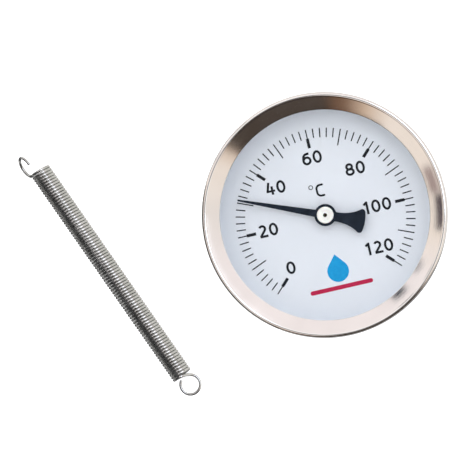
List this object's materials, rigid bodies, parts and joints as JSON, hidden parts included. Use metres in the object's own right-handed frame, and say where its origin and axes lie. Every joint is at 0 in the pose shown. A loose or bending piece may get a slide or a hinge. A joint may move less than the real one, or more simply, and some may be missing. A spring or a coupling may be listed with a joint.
{
  "type": "dial thermometer",
  "caption": "Strap-on dial thermometer for a pipe: round steel case, glass, white dial with black pointer, notched contact saddle and a loose tension spring.",
  "frame": {"origin": "centre of the contact disc's face, where the crown of the pipe touches, on the case axis", "axes": "+Z along the case axis towards the reader of the dial, +Y towards the 60 mark at the top of the dial; the pipe would run along Y"},
  "size_m": [0.1085, 0.0714, 0.0235],
  "materials": {
    "case_steel": "satin",
    "bezel_steel": "polished",
    "lens_glass": "gloss",
    "gasket_rubber": "matte",
    "ring_plastic": "matte",
    "dial_white": "satin",
    "ink_black": "satin",
    "ink_blue": "satin",
    "ink_red": "satin",
    "bimetal_strip": "satin",
    "brass": "satin",
    "bridge_steel": "satin",
    "saddle_aluminium": "satin",
    "rivet_steel": "satin",
    "pointer_black": "satin",
    "bush_ivory": "gloss",
    "spring_steel": "polished"
  },
  "bodies": {
    "case": {"case_shell": "case_steel", "bezel_ring": "bezel_steel", "lens": "lens_glass", "lens_gasket": "gasket_rubber", "dial_clamp_ring": "ring_plastic", "dial_support_ring": "ring_plastic", "dial_plate": "dial_white", "dial_scale": "ink_black", "dial_numerals": "ink_black", "dial_unit": "ink_black", "dial_drop": "ink_blue", "dial_rule": "ink_red", "bimetal_coil": "bimetal_strip", "anchor_post": "brass", "bridge": "bridge_steel", "upper_bearing": "brass", "contact_disc": "brass", "lower_bearing": "brass", "pipe_saddle": "saddle_aluminium", "saddle_rivets": "rivet_steel"},
    "pointer": {"pointer": "pointer_black", "pointer_bush": "bush_ivory", "spindle": "brass", "coil_collet": "brass"},
    "clamp_spring": {"clamp_spring_coil": "spring_steel", "clamp_spring_eye": "spring_steel"},
    "clamp_spring_hook": {"clamp_spring_hook": "spring_steel"}
  },
  "joints": [
    {"name": "pointer_turn", "type": "hinge", "parent": "case", "child": "pointer", "pos_m": [0, 0, 0.0118], "axis": [0, 0, 1], "range_deg": [-202.5, 67.5], "stiffness_Nm_per_rad": 0.0005, "deforming": ["bimetal_coil"]},
    {"name": "clamp_spring_lift", "type": "slide", "parent": "case", "child": "clamp_spring", "axis": [0, 0, 1], "range_m": [0, 0.05]},
    {"name": "clamp_spring_stretch", "type": "slide", "parent": "clamp_spring", "child": "clamp_spring_hook", "axis": [-0.3746, 0.9272, 0], "range_m": [0, 0.06], "stiffness_N_per_m": 310, "deforming": ["clamp_spring_coil"]}
  ]
}
